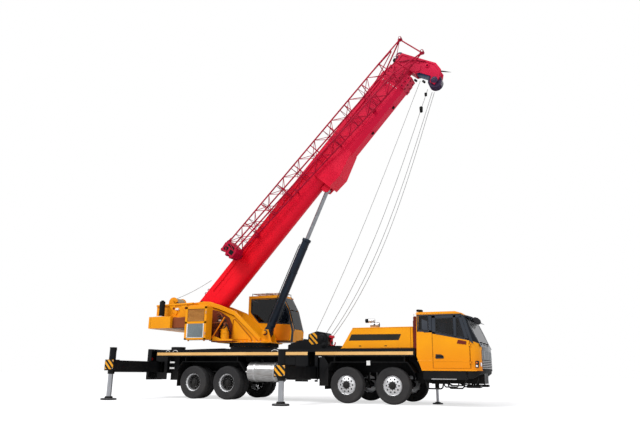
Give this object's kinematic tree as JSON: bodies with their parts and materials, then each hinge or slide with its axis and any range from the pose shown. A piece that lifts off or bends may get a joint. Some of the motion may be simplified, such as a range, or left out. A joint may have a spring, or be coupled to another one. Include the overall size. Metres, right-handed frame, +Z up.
{
  "type": "mobile crane",
  "caption": "Truck crane on its outriggers: a raised telescopic boom with a stowed lattice jib on a slewing turntable, operator's cab, counterweight and full-width driver's cab.",
  "frame": {"origin": "on the ground, at the middle of the crane's length and width: midway between the counterweight's tail and the front bumper", "axes": "+X forward towards the driver's cab, +Y to the driver's left, +Z up"},
  "size_m": [12.3, 7.4998, 12.7355],
  "materials": {
    "body_yellow": "gloss",
    "boom_red": "gloss",
    "frame_black": "satin",
    "guard_black": "matte",
    "bumper_grey": "satin",
    "tank_metal": "brushed",
    "engine_grey": "matte",
    "bare_steel": "satin",
    "trim_dark": "matte",
    "rope_steel": "satin",
    "sheave_dark": "satin",
    "chrome_rod": "polished",
    "cylinder_slate": "satin",
    "tyre_rubber": "matte"
  },
  "bodies": {
    "carrier": {"chassis_frame": "frame_black", "deck": "frame_black", "rear_outrigger_housing": "frame_black", "front_outrigger_housing": "frame_black", "mudguards": "guard_black", "front_bumper": "bumper_grey", "front_axles": "frame_black", "rear_axles": "frame_black", "fuel_tank": "tank_metal", "tool_locker": "frame_black", "engine_hood": "body_yellow", "engine_block": "engine_grey", "exhaust_stack": "bare_steel", "driver_cab": "body_yellow", "cab_interior": "trim_dark", "cab_sills": "guard_black", "slewing_ring": "frame_black", "hook_block": "frame_black"},
    "superstructure": {"turntable": "body_yellow", "counterweight": "body_yellow", "winches": "rope_steel", "machinery_cabinet": "body_yellow", "slew_drive": "body_yellow", "operator_cab": "body_yellow", "operator_seat": "trim_dark"},
    "operator_door": {"operator_door": "body_yellow"},
    "boom": {"boom_base_section": "boom_red", "jib_lattice": "boom_red"},
    "boom_section_2": {"boom_section_2": "boom_red"},
    "boom_section_3": {"boom_section_3": "boom_red"},
    "boom_section_4": {"boom_section_4": "boom_red"},
    "boom_section_5": {"boom_section_5": "boom_red", "boom_head": "boom_red", "head_sheaves": "sheave_dark"},
    "lift_rod": {"lift_cylinder_rod": "chrome_rod"},
    "lift_barrel": {"lift_cylinder_barrel": "cylinder_slate"},
    "front_jack": {"front_jack_leg": "chrome_rod"},
    "driver_door_right": {"driver_door_right": "body_yellow"},
    "driver_door_left": {"driver_door_left": "body_yellow"},
    "knuckle_1_right": {"knuckle_1_right": "frame_black"},
    "wheel_1_right": {"wheel_1_right": "tyre_rubber"},
    "knuckle_1_left": {"knuckle_1_left": "frame_black"},
    "wheel_1_left": {"wheel_1_left": "tyre_rubber"},
    "knuckle_2_right": {"knuckle_2_right": "frame_black"},
    "wheel_2_right": {"wheel_2_right": "tyre_rubber"},
    "knuckle_2_left": {"knuckle_2_left": "frame_black"},
    "wheel_2_left": {"wheel_2_left": "tyre_rubber"},
    "wheel_3_right": {"wheel_3_right": "tyre_rubber"},
    "wheel_3_left": {"wheel_3_left": "tyre_rubber"},
    "wheel_4_right": {"wheel_4_right": "tyre_rubber"},
    "wheel_4_left": {"wheel_4_left": "tyre_rubber"},
    "outrigger_beam_rear_right": {"outrigger_beam_rear_right": "frame_black"},
    "outrigger_leg_rear_right": {"outrigger_leg_rear_right": "chrome_rod"},
    "outrigger_beam_rear_left": {"outrigger_beam_rear_left": "frame_black"},
    "outrigger_leg_rear_left": {"outrigger_leg_rear_left": "chrome_rod"},
    "outrigger_beam_front_right": {"outrigger_beam_front_right": "frame_black"},
    "outrigger_leg_front_right": {"outrigger_leg_front_right": "chrome_rod"},
    "outrigger_beam_front_left": {"outrigger_beam_front_left": "frame_black"},
    "outrigger_leg_front_left": {"outrigger_leg_front_left": "chrome_rod"}
  },
  "joints": [
    {"name": "slew", "type": "hinge", "parent": "carrier", "child": "superstructure", "pos_m": [-2.2, 0, 1.79], "axis": [0, 0, 1], "continuous": true},
    {"name": "luff", "type": "hinge", "parent": "superstructure", "child": "boom", "pos_m": [-4.02, 0, 3.195], "axis": [0, 1, 0], "range_deg": [-32.2, 45.8]},
    {"name": "telescope_2", "type": "slide", "parent": "boom", "child": "boom_section_2", "axis": [-0.6717, 0, -0.7408], "range_m": [-7.6, 0]},
    {"name": "telescope_3", "type": "slide", "parent": "boom_section_2", "child": "boom_section_3", "axis": [-0.6717, 0, -0.7408], "range_m": [-7.6, 0]},
    {"name": "telescope_4", "type": "slide", "parent": "boom_section_3", "child": "boom_section_4", "axis": [-0.6717, 0, -0.7408], "range_m": [-7.6, 0]},
    {"name": "telescope_5", "type": "slide", "parent": "boom_section_4", "child": "boom_section_5", "axis": [-0.6717, 0, -0.7408], "range_m": [-7.6, 0]},
    {"name": "lift_rod_pivot", "type": "hinge", "parent": "boom", "child": "lift_rod", "pos_m": [0.68181, 0, 7.51692], "axis": [0, 1, 0], "range_deg": [-7.3, 10.3]},
    {"name": "lift_barrel_slide", "type": "slide", "parent": "lift_rod", "child": "lift_barrel", "axis": [0.4073, 0, 0.9133], "range_m": [-1.2, 1.7]},
    {"name": "operator_door_slide", "type": "slide", "parent": "superstructure", "child": "operator_door", "axis": [-1, 0, 0], "range_m": [0, 0.58]},
    {"name": "driver_door_right_swing", "type": "hinge", "parent": "carrier", "child": "driver_door_right", "pos_m": [5.795, -1.375, 1.5], "axis": [0, 0, 1], "range_deg": [0, 70]},
    {"name": "driver_door_left_swing", "type": "hinge", "parent": "carrier", "child": "driver_door_left", "pos_m": [5.795, 1.375, 1.5], "axis": [0, 0, -1], "range_deg": [0, 70]},
    {"name": "steer_1_right", "type": "hinge", "parent": "carrier", "child": "knuckle_1_right", "pos_m": [3.4, -0.93, 0.56], "axis": [0, 0, 1], "range_deg": [-32, 32]},
    {"name": "wheel_1_right_spin", "type": "hinge", "parent": "knuckle_1_right", "child": "wheel_1_right", "pos_m": [3.4, -1.15, 0.56], "axis": [0, 1, 0], "continuous": true},
    {"name": "steer_1_left", "type": "hinge", "parent": "carrier", "child": "knuckle_1_left", "pos_m": [3.4, 0.93, 0.56], "axis": [0, 0, 1], "range_deg": [-32, 32]},
    {"name": "wheel_1_left_spin", "type": "hinge", "parent": "knuckle_1_left", "child": "wheel_1_left", "pos_m": [3.4, 1.15, 0.56], "axis": [0, 1, 0], "continuous": true},
    {"name": "steer_2_right", "type": "hinge", "parent": "carrier", "child": "knuckle_2_right", "pos_m": [1.9, -0.93, 0.56], "axis": [0, 0, 1], "range_deg": [-25, 25]},
    {"name": "wheel_2_right_spin", "type": "hinge", "parent": "knuckle_2_right", "child": "wheel_2_right", "pos_m": [1.9, -1.15, 0.56], "axis": [0, 1, 0], "continuous": true},
    {"name": "steer_2_left", "type": "hinge", "parent": "carrier", "child": "knuckle_2_left", "pos_m": [1.9, 0.93, 0.56], "axis": [0, 0, 1], "range_deg": [-25, 25]},
    {"name": "wheel_2_left_spin", "type": "hinge", "parent": "knuckle_2_left", "child": "wheel_2_left", "pos_m": [1.9, 1.15, 0.56], "axis": [0, 1, 0], "continuous": true},
    {"name": "wheel_3_right_spin", "type": "hinge", "parent": "carrier", "child": "wheel_3_right", "pos_m": [-2.47, -1.04, 0.56], "axis": [0, 1, 0], "continuous": true},
    {"name": "wheel_3_left_spin", "type": "hinge", "parent": "carrier", "child": "wheel_3_left", "pos_m": [-2.47, 1.04, 0.56], "axis": [0, 1, 0], "continuous": true},
    {"name": "wheel_4_right_spin", "type": "hinge", "parent": "carrier", "child": "wheel_4_right", "pos_m": [-3.84, -1.04, 0.56], "axis": [0, 1, 0], "continuous": true},
    {"name": "wheel_4_left_spin", "type": "hinge", "parent": "carrier", "child": "wheel_4_left", "pos_m": [-3.84, 1.04, 0.56], "axis": [0, 1, 0], "continuous": true},
    {"name": "beam_rear_right_slide", "type": "slide", "parent": "carrier", "child": "outrigger_beam_rear_right", "axis": [0, 1, 0], "range_m": [0, 2.22]},
    {"name": "jack_rear_right_lift", "type": "slide", "parent": "outrigger_beam_rear_right", "child": "outrigger_leg_rear_right", "axis": [0, 0, 1], "range_m": [0, 0.55]},
    {"name": "beam_rear_left_slide", "type": "slide", "parent": "carrier", "child": "outrigger_beam_rear_left", "axis": [0, -1, 0], "range_m": [0, 2.22]},
    {"name": "jack_rear_left_lift", "type": "slide", "parent": "outrigger_beam_rear_left", "child": "outrigger_leg_rear_left", "axis": [0, 0, 1], "range_m": [0, 0.55]},
    {"name": "beam_front_right_slide", "type": "slide", "parent": "carrier", "child": "outrigger_beam_front_right", "axis": [0, 1, 0], "range_m": [0, 2.22]},
    {"name": "jack_front_right_lift", "type": "slide", "parent": "outrigger_beam_front_right", "child": "outrigger_leg_front_right", "axis": [0, 0, 1], "range_m": [0, 0.55]},
    {"name": "beam_front_left_slide", "type": "slide", "parent": "carrier", "child": "outrigger_beam_front_left", "axis": [0, -1, 0], "range_m": [0, 2.22]},
    {"name": "jack_front_left_lift", "type": "slide", "parent": "outrigger_beam_front_left", "child": "outrigger_leg_front_left", "axis": [0, 0, 1], "range_m": [0, 0.55]},
    {"name": "front_jack_lift", "type": "slide", "parent": "carrier", "child": "front_jack", "axis": [0, 0, 1], "range_m": [0, 0.34]}
  ],
  "couplings": [
    {"joint": "telescope_3", "follows": "telescope_2", "ratio": 1},
    {"joint": "telescope_4", "follows": "telescope_2", "ratio": 1},
    {"joint": "telescope_5", "follows": "telescope_2", "ratio": 1},
    {"joint": "lift_rod_pivot", "follows": "luff", "ratio": 0.22},
    {"joint": "lift_barrel_slide", "follows": "luff", "m_per_rad": 2.089},
    {"joint": "steer_1_right", "follows": "steer_1_left", "ratio": 1},
    {"joint": "steer_2_right", "follows": "steer_1_left", "ratio": 0.78},
    {"joint": "steer_2_left", "follows": "steer_1_left", "ratio": 0.78}
  ]
}
